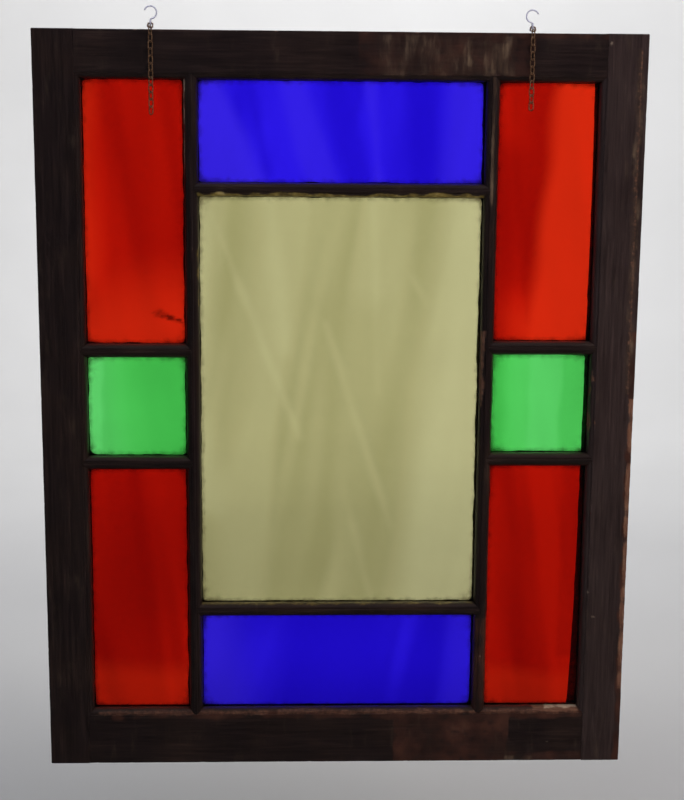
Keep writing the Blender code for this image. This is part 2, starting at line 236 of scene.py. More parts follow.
def ragged(tree, mask, fine, low, high):
    """A painted mask with its edge broken up by a fine pattern."""
    rough = maths(tree, "MULTIPLY_ADD", fine, 0.9, -0.45)
    return spread(tree, maths(tree, "ADD", painted(tree, mask), rough), low, high, way="SMOOTHSTEP")


def blend(tree, share, under, over):
    inputs = {0: share, 6: under, 7: over}
    return add(tree, "Mix", {"data_type": "RGBA"}, inputs).outputs[2]


def stained_pine(name, upright):
    """Pine, planed by hand, under dark spirit stain and old varnish.

    The eye sees near black with brown lights along the grain, a dull shine that breaks up over rubbed
    places, and raw tan wood where the finish is knocked off.
    """
    material, tree, shader = new_material(name)
    place = add(tree, "TexCoord").outputs["Object"]
    grain_width, grain_length = 3 * MM, 70 * MM
    # Real fibres are too fine to show in a picture, so they are drawn as coarse as this
    fibre_width, fibre_length = 0.7 * MM, 25 * MM
    streak_width, streak_length = 9 * MM, 34 * MM
    cloud_size, blotch_size, speck_size = 80 * MM, 35 * MM, 4 * MM

    def along_grain(width, length):
        return stretched(tree, place, *((width, width, length) if upright else (length, width, width)))

    grain = pattern(tree, along_grain(grain_width, grain_length), 1, 5.0, Roughness=0.6, Distortion=0.5)
    fibre = pattern(tree, along_grain(fibre_width, fibre_length), 1, 3.0)
    cloud = pattern(tree, place, cloud_size, 4.0)
    speck = pattern(tree, place, speck_size, 5.0)
    blotch = pattern(tree, place, blotch_size, 4.0)
    streaky = pattern(tree, stretched(tree, place, streak_width, streak_width, streak_length), 1, 4.0)

    stain = ramp(tree, grain, (0.30, "#1d1514"), (0.55, "#291e1c"), (0.80, "#392a26"))
    browner = ramp(tree, grain, (0.30, "#261913"), (0.55, "#38261d"), (0.80, "#4f382b"))
    colour = blend(tree, spread(tree, cloud, 0.45, 0.7, 0.0, 0.6), stain, browner)

    # Each worn state, and each state of painted light and painted glow: its mask, what breaks up the mask's
    # edge and between which values, then the pattern that its own colour follows and that colour's stops
    states = (
        # Painted light: the brightly lit right stile made paler, and a faint painted reflection on the top
        # rail
        ("faded", cloud, 0.0, 1.1, grain, (0.3, "#302422"), (0.55, "#3f312e"), (0.8, "#503f3b")),
        ("brown", blotch, 0.1, 0.9, blotch, (0.3, "#38211a"), (0.55, "#482a20"), (0.75, "#583528")),
        ("rubbed", streaky, 0.0, 1.1, streaky, (0.3, "#2e211b"), (0.52, "#4c392b"), (0.72, "#75604a")),
        ("bare", speck, 0.25, 0.85, fibre, (0.3, "#573424"), (0.52, "#7a523e"), (0.78, "#a07c5e")),
        # Painted glow: the pale pane's yellow light, painted golden on the mouldings beside it
        ("smeared", speck, 0.2, 0.9, streaky, (0.3, "#5c4c24"), (0.55, "#94803f"), (0.75, "#c9b475")),
    )
    shares = {}
    for mask, edge, low, high, followed, *stops in states:
        shares[mask] = ragged(tree, mask, edge, low, high)
        colour = blend(tree, shares[mask], colour, ramp(tree, followed, *stops))
    # Pale specks and lines; those on the left muntin are painted light
    colour = blend(tree, ragged(tree, "pale", speck, 0.2, 1.0), colour, linear("#cbb598"))

    # Dust settles on what faces up
    facing = add(tree, "SeparateXYZ", None, {0: add(tree, "NewGeometry").outputs["Normal"]})
    settled = spread(tree, facing.outputs["Z"], 0.3, 1.0, 0.0, 0.2)
    colour = blend(tree, maths(tree, "MULTIPLY", settled, speck), colour, linear("#7d6a5c"))
    tree.links.new(colour, shader.inputs["Base Color"])

    worn = maths(tree, "MAXIMUM", shares["bare"], shares["rubbed"])
    shine = spread(tree, cloud, 0.3, 0.7, 0.28, 0.44)
    tree.links.new(maths(tree, "MULTIPLY_ADD", worn, 0.35, shine), shader.inputs["Roughness"])
    shader.inputs["IOR"].default_value = 1.5
    add_bump(tree, shader, 0.5, 0.35 * MM, maths(tree, "MULTIPLY_ADD", fibre, 0.5, grain))
    return material


def coloured_glass(name, deep, light, palest, streak_lean):
    """Plain drawn sheet glass, coloured in the melt.

    The eye sees clear colour with the light behind it, in soft upright and slanting lighter and darker
    streaks, broad parts of painted light and painted shade, grime and painted shade round the edges, and
    on one pane a small dark patch.
    """
    material, tree, shader = new_material(name)
    place = add(tree, "TexCoord").outputs["Object"]
    streak_width, streak_length = 55 * MM, 420 * MM
    smear_size = 9 * MM
    lean = (0.0, math.radians(streak_lean), 0.0)
    leaning = add(tree, "Mapping", None, {"Vector": place, "Rotation": lean}).outputs[0]
    drawn_out = stretched(tree, leaning, streak_width, streak_width, streak_length)
    streak = pattern(tree, drawn_out, 1, 1.0, Distortion=0.5)
    tint = ramp(tree, streak, (0.34, deep), (0.66, light))
    # Painted shade and painted light in broad darker and paler parts of the pane
    tint = blend(tree, painted(tree, "deeper_painted_shade"), tint, linear(deep))
    tint = blend(tree, painted(tree, "paler_painted_light"), tint, linear(palest))
    smear = pattern(tree, place, smear_size, 5.0)
    # Grime and painted shade round the edges, and a small dark patch, each darkening the colour
    rim_darkening = ragged(tree, "grime_and_shade", smear, 0.1, 1.2)
    dark_patch = ragged(tree, "dark_patch", smear, 0.2, 1.0)
    darkening = {"data_type": "RGBA", "blend_type": "MULTIPLY"}
    darker_tint = add(tree, "Mix", darkening, {0: 1.0, 6: tint, 7: linear("#5e4c36")}).outputs[2]
    tint = blend(tree, maths(tree, "MAXIMUM", rim_darkening, dark_patch), tint, darker_tint)
    tree.links.new(tint, shader.inputs["Base Color"])
    shader.inputs["Roughness"].default_value = 0.0
    shader.inputs["IOR"].default_value = 1.52
    shader.inputs["Transmission Weight"].default_value = 1.0
    return material


def old_putty():
    """Linseed oil putty, pressed in by thumb and knifed off, then dirty with age.

    The eye sees a dull chalky grey brown with fine cracks.
    """
    material, tree, shader = new_material("old_putty")
    place = add(tree, "TexCoord").outputs["Object"]
    lump_size, crack_size = 6 * MM, 9 * MM
    lump = pattern(tree, place, lump_size, 6.0)
    inputs = {"Vector": place, "Scale": 1 / crack_size}
    crack = add(tree, "TexVoronoi", {"feature": "DISTANCE_TO_EDGE"}, inputs).outputs["Distance"]
    open_crack = spread(tree, crack, 0.0, 0.05, 0.7, 0.0)
    colour = ramp(tree, lump, (0.3, "#4e4336"), (0.5, "#6b5d4b"), (0.72, "#877862"))
    tree.links.new(blend(tree, open_crack, colour, linear("#2a221b")), shader.inputs["Base Color"])
    shader.inputs["Roughness"].default_value = 0.9
    add_bump(tree, shader, 0.6, 0.5 * MM, maths(tree, "SUBTRACT", lump, open_crack))
    return material


def drawn_wire(name, dark, light, smooth, rough, spot, metal_share):
    """Drawn wire with a thin plating gone dull.

    The eye sees a soft grey or brown metal shine, blotched where the plating has tarnished. The bloom of
    oxide on it is matt, so only a share of the surface is bare metal.
    """
    material, tree, shader = new_material(name)
    place = add(tree, "TexCoord").outputs["Object"]
    blotch = pattern(tree, place, spot, 5.0, Roughness=0.6)
    colour = ramp(tree, blotch, (0.35, dark), (0.65, light))
    tree.links.new(colour, shader.inputs["Base Color"])
    shader.inputs["Metallic"].default_value = metal_share
    dull = spread(tree, blotch, 0.35, 0.65, rough, smooth)
    tree.links.new(dull, shader.inputs["Roughness"])
    add_bump(tree, shader, 0.3, 0.05 * MM, blotch)
    return material


def pale_paint():
    """Matt emulsion, rolled on: pale grey with no shine, and painted shade a little darker in the floor's
    middle.
    """
    material, tree, shader = new_material("pale_matt_paint")
    place = add(tree, "TexCoord").outputs["Object"]
    mottle_size = 2 / 3
    mottle = pattern(tree, place, mottle_size, 2.0)
    colour = ramp(tree, mottle, (0.3, "#d8d8d8"), (0.7, "#dedede"))
    from_middle = add(tree, "VectorMath", {"operation": "LENGTH"}, {0: place}).outputs["Value"]
    # Painted shade: the floor darker near the middle, under the sash
    painted_floor_shade = spread(tree, from_middle, 0.8, 2.0, 0.88, 0.0, way="SMOOTHSTEP")
    tree.links.new(blend(tree, painted_floor_shade, colour, linear("#a8a8a8")), shader.inputs["Base Color"])
    shader.inputs["Roughness"].default_value = 0.95
    return material


def add_object(name, data, material):
    thing = bpy.data.objects.new(name, data)
    bpy.context.scene.collection.objects.link(thing)
    data.materials.append(material)
    return thing


def stand_for(thing, node):
    """The piece shows in place of its solid and moves with the body."""
    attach(thing, root)
    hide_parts(node)


def add_room(paint):
    """A flat round floor that rises in a wide cove into the wall."""
    profile = [(0.0, FLOOR_Z), ((ROOM_RADIUS - COVE_RADIUS) / 2, FLOOR_Z)]
    for step in range(COVE_STEPS + 1):
        angle = math.radians(90) * step / COVE_STEPS
        profile.append(
            (
                ROOM_RADIUS - COVE_RADIUS + COVE_RADIUS * math.sin(angle),
                FLOOR_Z + COVE_RADIUS * (1 - math.cos(angle)),
            )
        )
    profile.append((ROOM_RADIUS, WALL_TOP))
    bm = bmesh.new()
    verts = [bm.verts.new((radius, 0.0, z)) for radius, z in profile]
    edges = [bm.edges.new(pair) for pair in zip(verts, verts[1:])]
    bmesh.ops.spin(
        bm,
        geom=verts + edges,
        axis=(0, 0, 1),
        cent=(0, 0, 0),
        angle=math.radians(360),
        steps=ROOM_SIDES,
        use_merge=True,
    )
    bmesh.ops.remove_doubles(bm, verts=bm.verts, dist=0.1 * MM)
    bmesh.ops.recalc_face_normals(bm, faces=bm.faces)
    bmesh.ops.reverse_faces(bm, faces=bm.faces)
    mesh = bpy.data.meshes.new("room")
    bm.to_mesh(mesh)
    bm.free()
    mesh.shade_smooth()
    room = add_object("room", mesh, paint)
    room.visible_glossy = False


def add_light(name, place, target, width, height, power, colour="#ffffff"):
    lamp = bpy.data.lights.new(name, "AREA")
    lamp.shape = "RECTANGLE"
    lamp.size, lamp.size_y = width, height
    lamp.energy = power
    lamp.color = linear(colour)[:3]
    thing = bpy.data.objects.new(name, lamp)
    bpy.context.scene.collection.objects.link(thing)
    thing.location = place
    thing.rotation_euler = (Vector(target) - Vector(place)).to_track_quat("-Z", "Y").to_euler()
    thing.visible_camera = False
    thing.visible_glossy = False
    thing.visible_transmission = False


def add_lights():
    """A wide wash on the wall behind, a soft front light from the right, a dim one from above, a cool one
    high in front, and a small one over the floor behind.

    Neither the room nor the lamps show in gloss, and no lamp shows through a pane. What shows in gloss is
    the world, which is as bright behind the sash as the lit wall and dark in front, so that the panes
    stay clear and the mouldings beside them take up their colour.
    """
    add_light("wall_wash", (0.3, 3.0, 2.6), (0.1, 5.0, 0.0), 1.6, 1.0, 122)
    add_light("front_soft", (1.5, -1.15, 0.2), (0.0, 0.0, -0.45), 1.2, 1.2, 16, "#fff1e6")
    add_light("top_soft", (-0.3, -0.4, 1.6), (0.0, 0.0, -0.4), 1.6, 0.6, 4, "#f4f6ff")
    add_light("high_front", (0.0, -0.9, 0.75), (0.0, 0.0, -0.03), 1.8, 0.25, 4.5, "#b9c8ff")
    add_light("floor_glow", (0.03, 1.1, -0.85), (0.03, 1.1, -1.24), 0.6, 0.3, 0.9)
    world = bpy.data.worlds.new("dim_room_light")
    bpy.context.scene.world = world
    world.use_nodes = True
    tree = world.node_tree
    background = tree.nodes["Background"]
    way = add(tree, "SeparateXYZ", None, {0: add(tree, "TexCoord").outputs["Generated"]})
    behind = spread(tree, way.outputs["Y"], -0.1, 0.5, 0.0, 0.62, way="SMOOTHSTEP")
    overhead = spread(tree, way.outputs["Z"], 0.3, 0.9, 0.0, 0.1, way="SMOOTHSTEP")
    brighter = maths(tree, "MAXIMUM", behind, overhead)
    tree.links.new(maths(tree, "ADD", brighter, 0.02), background.inputs["Strength"])
    background.inputs["Color"].default_value = linear("#f2f2f5")


def add_camera():
    lens = bpy.data.cameras.new("camera")
    lens.sensor_fit = "VERTICAL"
    lens.sensor_height = SENSOR_HEIGHT
    lens.lens = CAMERA_LENS
    camera = bpy.data.objects.new("camera", lens)
    bpy.context.scene.collection.objects.link(camera)
    camera.location = CAMERA_PLACE
    camera.rotation_euler = [math.radians(turn) for turn in CAMERA_TURN]
    bpy.context.scene.camera = camera
    bpy.context.scene.view_settings.view_transform = "Standard"


def straight(start, end, spacing):
    """Points from start up to but not including end, evenly set."""
    count = max(1, round(math.dist(start, end) / spacing))
    return [
        tuple(a + (b - a) * step / count for a, b in zip(start, end)) for step in range(count)
    ]


def arc(centre, across, deep, start, end, steps):
    """Points (across, depth) on an ellipse about centre, from one angle in degrees to another."""
    points = []
    for step in range(steps + 1):
        angle = math.radians(start + (end - start) * step / steps)
        points.append((centre[0] + across * math.cos(angle), centre[1] + deep * math.sin(angle)))
    return points


def moulded_side(face):
    """One moulded and rebated side: quirk arris, ovolo, nose, ledge and rebate wall."""
    sight = face + MOULDING_WIDTH
    ovolo_end = QUIRK_DEPTH + OVOLO_DEPTH
    soft = QUIRK_SOFTNESS
    return [
        *arc((face - soft, soft), soft, soft, -90, 0, 3),
        *arc((face, ovolo_end), MOULDING_WIDTH, OVOLO_DEPTH, -90, -6, 10),
        (sight, ovolo_end + NOSE_SOFTNESS),
        (sight, LEDGE_DEPTH - NOSE_SOFTNESS),
        (sight - NOSE_SOFTNESS, LEDGE_DEPTH),
        *straight((sight - LEDGE_START, LEDGE_DEPTH), (face, LEDGE_DEPTH), FACE_SPACING),
        (face, LEDGE_DEPTH),
        *straight((face, LEDGE_DEPTH + WALL_START), (face, SASH_THICKNESS), BACK_SPACING),
    ]


def frame_section(face):
    """Section of a stile or rail, across it from its outer edge and back from its front."""
    radius = ARRIS_RADIUS
    back = SASH_THICKNESS - radius
    return [
        *arc((radius, radius), radius, radius, 180, 270, 5),
        *straight((radius + ARRIS_GAP, 0.0), (face - ARRIS_GAP, 0.0), FACE_SPACING),
        *moulded_side(face),
        *straight((face, SASH_THICKNESS), (radius + ARRIS_GAP, SASH_THICKNESS), BACK_SPACING),
        *arc((radius, back), radius, radius, 90, 180, 5),
        *straight((0.0, back - ARRIS_GAP), (0.0, radius + ARRIS_GAP), BACK_SPACING),
        (0.0, radius + ARRIS_GAP),
    ]


def bar_section(width):
    """Section of a glazing bar, across it from its middle line."""
    side = moulded_side(width / 2 - MOULDING_WIDTH) + [(width / 2 - MOULDING_WIDTH, SASH_THICKNESS)]
    mirrored = [(-across, depth) for across, depth in reversed(side)]
    return [(0.0, 0.0), *side, (0.0, SASH_THICKNESS), *mirrored]


def section_normals(section):
    """The outward way at each point of a closed section."""
    points = np.array(section)
    run = np.roll(points, -1, axis=0) - np.roll(points, 1, axis=0)
    ways = np.stack([run[:, 1], -run[:, 0]], axis=1)
    ways /= np.linalg.norm(ways, axis=1)[:, None]
    nexts = np.roll(points, -1, axis=0)
    area = (points[:, 0] * nexts[:, 1] - nexts[:, 0] * points[:, 1]).sum()
    return ways if area > 0 else -ways


def arris_nearness(section, arrises):
    """How near each point of a section is to an arris, from 1 on it to 0 far from it."""
    points = np.array(section)
    gaps = np.array([np.linalg.norm(points - np.array(corner), axis=1) for corner in arrises])
    return np.exp(-((gaps.min(axis=0) / ARRIS_REACH) ** 2))


def moulding_reach(depth):
    """How far a neighbour's moulding stands out at a depth, which a member's end is coped over."""
    ovolo_end = QUIRK_DEPTH + OVOLO_DEPTH
    if depth <= QUIRK_DEPTH or depth > LEDGE_DEPTH:
        return 0.0
    if depth >= ovolo_end:
        return MOULDING_WIDTH
    return MOULDING_WIDTH * math.sqrt(1 - ((ovolo_end - depth) / OVOLO_DEPTH) ** 2)


def rough(points, size, seed):
    """Smooth noise from -1 to 1 at each point, with features of about the given size."""
    shift = Vector((seed * 7.31, seed * 3.17, seed * 5.93))
    return np.array([noise.noise(Vector(point) / size + shift) for point in points])


def in_box(points, low, high, soft, seed):
    """1 inside a box and 0 outside it, with a soft ragged edge."""
    inside = np.minimum(points - np.array(low), np.array(high) - points).min(axis=1)
    inside = inside + soft * 0.8 * rough(points, 4 * soft, seed)
    share = np.clip(inside / soft + 0.5, 0, 1)
    return share * share * (3 - 2 * share)


# A worn place, or a place of painted light and glow: its node, what shows there, its box in metres, how
# strongly, and how deep the wood is gone
Mark = namedtuple("Mark", "node shows low high strength depth")

WOOD_MASKS = ("bare", "rubbed", "brown", "faded", "smeared", "pale")

WEAR_AND_PAINTED_LIGHT = [
    # Painted light: the whole right stile paler, where more light falls from the right
    Mark("stile_right", "faded", (0.300, -0.010, -1.000), (0.400, 0.050, 0.010), 0.85, 0.0),
    Mark("muntin_right", "brown", (0.170, -0.006, -0.910), (0.200, 0.004, -0.780), 0.70, 0.05 * MM),
    Mark("rail_bottom", "brown", (0.075, -0.006, -0.990), (0.230, -0.003, -0.916), 0.62, 0.05 * MM),
    Mark("rail_bottom", "brown", (0.180, -0.006, -0.990), (0.330, 0.002, -0.968), 0.60, 0.10 * MM),
    Mark("rail_bottom", "brown", (-0.300, -0.006, -0.920), (0.330, 0.002, -0.909), 0.75, 0.10 * MM),
    # Painted reflection: a faint pale veil over the top rail
    Mark("rail_top", "faded", (-0.400, -0.010, -0.100), (0.400, 0.050, 0.010), 0.12, 0.0),
    Mark("rail_top", "brown", (0.020, -0.006, -0.080), (0.240, -0.003, -0.026), 0.45, 0.05 * MM),
    Mark("rail_top", "brown", (0.215, -0.006, -0.034), (0.340, 0.001, -0.026), 0.60, 0.10 * MM),
    # Painted glow: the pale pane's yellow light on the bars' mouldings beside it
    Mark("bar_centre_upper", "smeared", (-0.180, -0.003, -0.2320), (0.180, 0.010, -0.2250), 0.85, 0.10 * MM),
    Mark("bar_centre_lower", "smeared", (-0.180, 0.000, -0.7665), (0.180, 0.010, -0.7590), 0.50, 0.10 * MM),
    Mark("stile_right", "brown", (0.3730, -0.006, -0.985), (0.385, 0.008, -0.400), 1.00, 0.2 * MM),
    Mark("stile_right", "bare", (0.3745, -0.006, -0.880), (0.385, 0.004, -0.486), 0.90, 0.5 * MM),
    Mark("stile_right", "rubbed", (0.3665, -0.006, -0.480), (0.3755, -0.003, -0.045), 0.60, 0.1 * MM),
    Mark("stile_right", "bare", (0.3695, -0.006, -0.480), (0.3735, -0.003, -0.045), 0.50, 0.1 * MM),
    Mark("stile_right", "bare", (0.3225, 0.000, -0.541), (0.3285, 0.010, -0.470), 0.95, 1.8 * MM),
    Mark("stile_right", "bare", (0.3245, -0.003, -0.463), (0.3295, 0.006, -0.448), 0.75, 1.0 * MM),
    Mark("muntin_right", "bare", (0.1790, -0.004, -0.500), (0.1860, 0.010, -0.398), 0.70, 0.9 * MM),
    Mark("muntin_right", "rubbed", (0.1870, -0.006, -0.240), (0.1915, -0.003, -0.080), 0.70, 0.1 * MM),
    # Painted glow: the pale pane's yellow light on the left muntin's moulding beside it
    Mark("muntin_left", "smeared", (-0.1850, 0.000, -0.368), (-0.1780, 0.010, -0.292), 0.55, 0.2 * MM),
    # Painted light: thin light lines along the left muntin's moulding
    Mark("muntin_left", "pale", (-0.1975, 0.000, -0.142), (-0.1930, 0.010, -0.086), 0.80, 0.3 * MM),
    Mark("muntin_left", "pale", (-0.1975, 0.000, -0.205), (-0.1935, 0.010, -0.150), 0.50, 0.2 * MM),
    Mark("bar_centre_upper", "bare", (-0.170, 0.002, -0.2315), (0.165, 0.010, -0.2275), 0.42, 0.3 * MM),
    Mark("rail_top", "rubbed", (0.045, -0.006, -0.080), (0.215, -0.003, -0.030), 0.42, 0.05 * MM),
    Mark("rail_top", "rubbed", (0.185, -0.006, -0.077), (0.206, -0.003, -0.040), 0.95, 0.1 * MM),
    Mark("rail_top", "rubbed", (0.155, -0.006, -0.067), (0.161, -0.003, -0.037), 0.85, 0.1 * MM),
    Mark("rail_bottom", "bare", (-0.320, -0.006, -0.9145), (0.325, 0.001, -0.9085), 0.50, 0.4 * MM),
    Mark("rail_bottom", "bare", (0.262, -0.006, -0.9140), (0.325, 0.010, -0.9050), 0.80, 0.7 * MM),
    Mark("rail_bottom", "pale", (0.280, 0.0010, -0.9105), (0.323, 0.0105, -0.9045), 0.78, 0.2 * MM),
    Mark("rail_bottom", "rubbed", (0.225, -0.006, -0.980), (0.262, -0.003, -0.974), 0.50, 0.1 * MM),
]

# Small pale specks on the front: node, place along X and Z, how wide, and how strongly they show
Speck = namedtuple("Speck", "node x z radius strength")

SPECKS = [
    Speck("stile_right", 0.3295, -0.745, 2.0 * MM, 0.60),
    Speck("stile_right", 0.3386, -0.779, 2.8 * MM, 0.60),
    Speck("stile_right", 0.3290, -0.834, 2.0 * MM, 0.55),
    Speck("stile_right", 0.3331, -0.0388, 3.5 * MM, 0.55),
    Speck("muntin_right", 0.1890, -0.834, 2.0 * MM, 0.60),
    Speck("rail_bottom", 0.2830, -0.953, 2.5 * MM, 0.45),
]

# Painted light and shade on the panes, and one dark patch: its node, what shows, its box along X and Z,
# how strongly, how far its sides lean over along X for each metre up, and how wide its soft edge is. A
# leaning box has its X where its sides would be at the height of the hooks' crowns, Z = 0.
Shade = namedtuple("Shade", "node shows low high strength lean soft")

GLASS_MASKS = ("paler_painted_light", "deeper_painted_shade", "dark_patch")

SHADES = [
    Shade("glass_red_upper_right", "paler_painted_light", (0.290, -0.46), (0.400, 0.05), 0.68, 0.13, 26 * MM),
    Shade("glass_red_upper_right", "paler_painted_light", (0.225, -0.52), (0.460, -0.385), 0.68, 0.0, 90 * MM),
    Shade("glass_red_upper_right", "deeper_painted_shade", (0.236, -0.32), (0.262, 0.05), 0.30, 0.02, 22 * MM),
    Shade("glass_red_upper_right", "deeper_painted_shade", (0.150, -0.34), (0.240, -0.17), 0.50, 0.0, 50 * MM),
    Shade("glass_red_upper_left", "paler_painted_light", (-0.400, -0.50), (-0.308, 0.05), 0.55, 0.0, 50 * MM),
    Shade("glass_red_upper_left", "paler_painted_light", (-0.460, -0.50), (-0.100, -0.355), 0.50, 0.0, 110 * MM),
    Shade("glass_red_upper_left", "deeper_painted_shade", (-0.270, -0.32), (-0.100, -0.06), 0.40, 0.0, 70 * MM),
    # A small dark patch on the upper left red pane, darkening its colour
    Shade("glass_red_upper_left", "dark_patch", (-0.2345, -0.3835), (-0.2245, -0.3735), 0.66, 0.0, 12 * MM),
    Shade("glass_red_upper_left", "dark_patch", (-1.1120, -0.3910), (-1.0890, -0.3770), 0.74, -2.3, 11 * MM),
    Shade("glass_red_lower_left", "deeper_painted_shade", (-0.400, -0.86), (-0.298, -0.50), 0.35, 0.0, 24 * MM),
    Shade("glass_red_lower_left", "deeper_painted_shade", (-0.322, -0.86), (-0.100, -0.50), 0.30, 0.12, 24 * MM),
    Shade("glass_red_lower_left", "paler_painted_light", (-0.460, -1.00), (-0.100, -0.850), 0.30, 0.0, 40 * MM),
    Shade("glass_red_lower_right", "deeper_painted_shade", (0.294, -0.84), (0.400, -0.50), 0.35, 0.0, 10 * MM),
    Shade("glass_red_lower_right", "paler_painted_light", (0.100, -1.00), (0.460, -0.858), 0.28, 0.0, 30 * MM),
    Shade("glass_green_left", "paler_painted_light", (-0.400, -0.60), (-0.303, -0.35), 0.60, 0.0, 12 * MM),
    Shade("glass_green_left", "paler_painted_light", (-0.400, -0.60), (-0.285, -0.35), 0.35, 0.0, 50 * MM),
    Shade("glass_green_left", "deeper_painted_shade", (-0.232, -0.60), (-0.100, -0.35), 0.70, 0.0, 40 * MM),
    Shade("glass_green_right", "paler_painted_light", (0.243, -0.60), (0.2885, -0.35), 0.38, 0.0, 12 * MM),
    Shade("glass_green_right", "paler_painted_light", (0.228, -0.60), (0.400, -0.35), 0.14, 0.0, 30 * MM),
    Shade("glass_green_right", "deeper_painted_shade", (0.150, -0.60), (0.212, -0.35), 0.90, 0.0, 20 * MM),
    Shade("glass_blue_top", "paler_painted_light", (-0.500, -0.35), (-0.197, 0.10), 0.80, -0.50, 26 * MM),
    Shade("glass_blue_top", "deeper_painted_shade", (-0.138, -0.35), (-0.124, 0.10), 0.60, -0.19, 16 * MM),
    Shade("glass_blue_top", "paler_painted_light", (-0.105, -0.35), (-0.070, 0.10), 0.50, -0.30, 20 * MM),
    Shade("glass_blue_top", "deeper_painted_shade", (-0.046, -0.35), (-0.016, 0.10), 0.75, -0.26, 22 * MM),
    Shade("glass_blue_top", "paler_painted_light", (0.022, -0.35), (0.032, 0.10), 0.50, -0.10, 14 * MM),
    Shade("glass_blue_top", "deeper_painted_shade", (0.050, -0.35), (0.084, 0.10), 0.75, -0.26, 25 * MM),
    Shade("glass_blue_top", "paler_painted_light", (0.130, -0.35), (0.400, 0.10), 0.60, 0.0, 30 * MM),
    Shade("glass_blue_bottom", "paler_painted_light", (-0.400, -1.00), (-0.125, -0.70), 0.65, 0.0, 70 * MM),
    Shade("glass_blue_bottom", "deeper_painted_shade", (-0.075, -1.00), (0.080, -0.70), 0.90, 0.0, 60 * MM),
    Shade("glass_blue_bottom", "paler_painted_light", (0.145, -1.00), (0.400, -0.70), 0.35, 0.0, 35 * MM),
    Shade("glass_pale_centre", "paler_painted_light", (0.185, -0.90), (0.700, 0.10), 0.65, 0.15, 55 * MM),
    Shade("glass_pale_centre", "paler_painted_light", (-0.400, -0.64), (-0.158, 0.10), 0.40, 0.0, 40 * MM),
    Shade("glass_pale_centre", "deeper_painted_shade", (-0.080, -0.90), (0.020, -0.36), 0.45, -0.12, 60 * MM),
    Shade("glass_pale_centre", "paler_painted_light", (-0.2640, -0.54), (-0.2600, -0.20), 0.34, -0.39, 16 * MM),
    Shade("glass_pale_centre", "paler_painted_light", (-0.120, -0.43), (-0.104, -0.20), 0.28, -0.098, 24 * MM),
    Shade("glass_pale_centre", "paler_painted_light", (-0.1440, -0.66), (-0.1410, -0.39), 0.30, -0.32, 15 * MM),
    Shade("glass_pale_centre", "paler_painted_light", (-0.1440, -0.78), (-0.1410, -0.61), 0.22, -0.245, 15 * MM),
    Shade("glass_pale_centre", "paler_painted_light", (0.0335, -0.48), (0.0375, -0.20), 0.22, -0.03, 16 * MM),
    Shade("glass_pale_centre", "paler_painted_light", (-0.0875, -0.43), (-0.0840, -0.33), 0.34, -0.54, 16 * MM),
]


def ring_faces(rings, sides, closed):
    """Faces from each ring of points to the next, and from the last to the first if closed."""
    faces = []
    for ring in range(rings if closed else rings - 1):
        here, onward = ring * sides, (ring + 1) % rings * sides
        for side in range(sides):
            next_side = (side + 1) % sides
            faces.append((here + side, here + next_side, onward + next_side, onward + side))
    return faces


def painted_mesh(name, points, faces, masks, sharp):
    """A smooth mesh, faces turned outward, with a value for each mask at each point, and sharp arrises."""
    mesh = bpy.data.meshes.new(name)
    mesh.from_pydata(points, [], faces)
    bm = bmesh.new()
    bm.from_mesh(mesh)
    bmesh.ops.recalc_face_normals(bm, faces=bm.faces)
    bm.to_mesh(mesh)
    bm.free()
    for mask, values in masks.items():
        layer = mesh.attributes.new(mask, "FLOAT", "POINT")
        layer.data.foreach_set("value", values.astype(np.float32))
    mesh.shade_smooth()
    mesh.set_sharp_from_angle(angle=math.radians(sharp))
    return mesh


def member_rings(node, upright, section, base, direction, coped):
    """Points of a member, ring after ring along it, the outward way at each, and how many rings."""
    low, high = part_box(node)
    start, end = (low.z, high.z) if upright else (low.x, high.x)
    places = list(np.linspace(0.0, 1.0, round((end - start) / RING_SPACING) + 1))
    if not coped:
        near = [place / (end - start) for place in END_PLACES]
        places = sorted(places + near + [1 - place for place in near])
    reach = np.array([moulding_reach(depth) if coped else 0.0 for _, depth in section])
    across, depth = np.array(section).T
    share = np.array(places)[:, None]
    close = JOINT_CLOSE if coped else 0.0
    along = (start - close + reach) * (1 - share) + (end + close - reach) * share
    crosswise = np.broadcast_to(base + direction * across, along.shape)
    deep = np.broadcast_to(sash_front + depth, along.shape)
    order = (crosswise, deep, along) if upright else (along, deep, crosswise)
    points = np.stack(order, axis=2).reshape(-1, 3)
    way_across, way_deep = section_normals(section).T
    zero = np.zeros_like(across)
    ways = (direction * way_across, way_deep, zero) if upright else (zero, way_deep, direction * way_across)
    return points, np.tile(np.stack(ways, axis=1), (len(places), 1)), len(places)


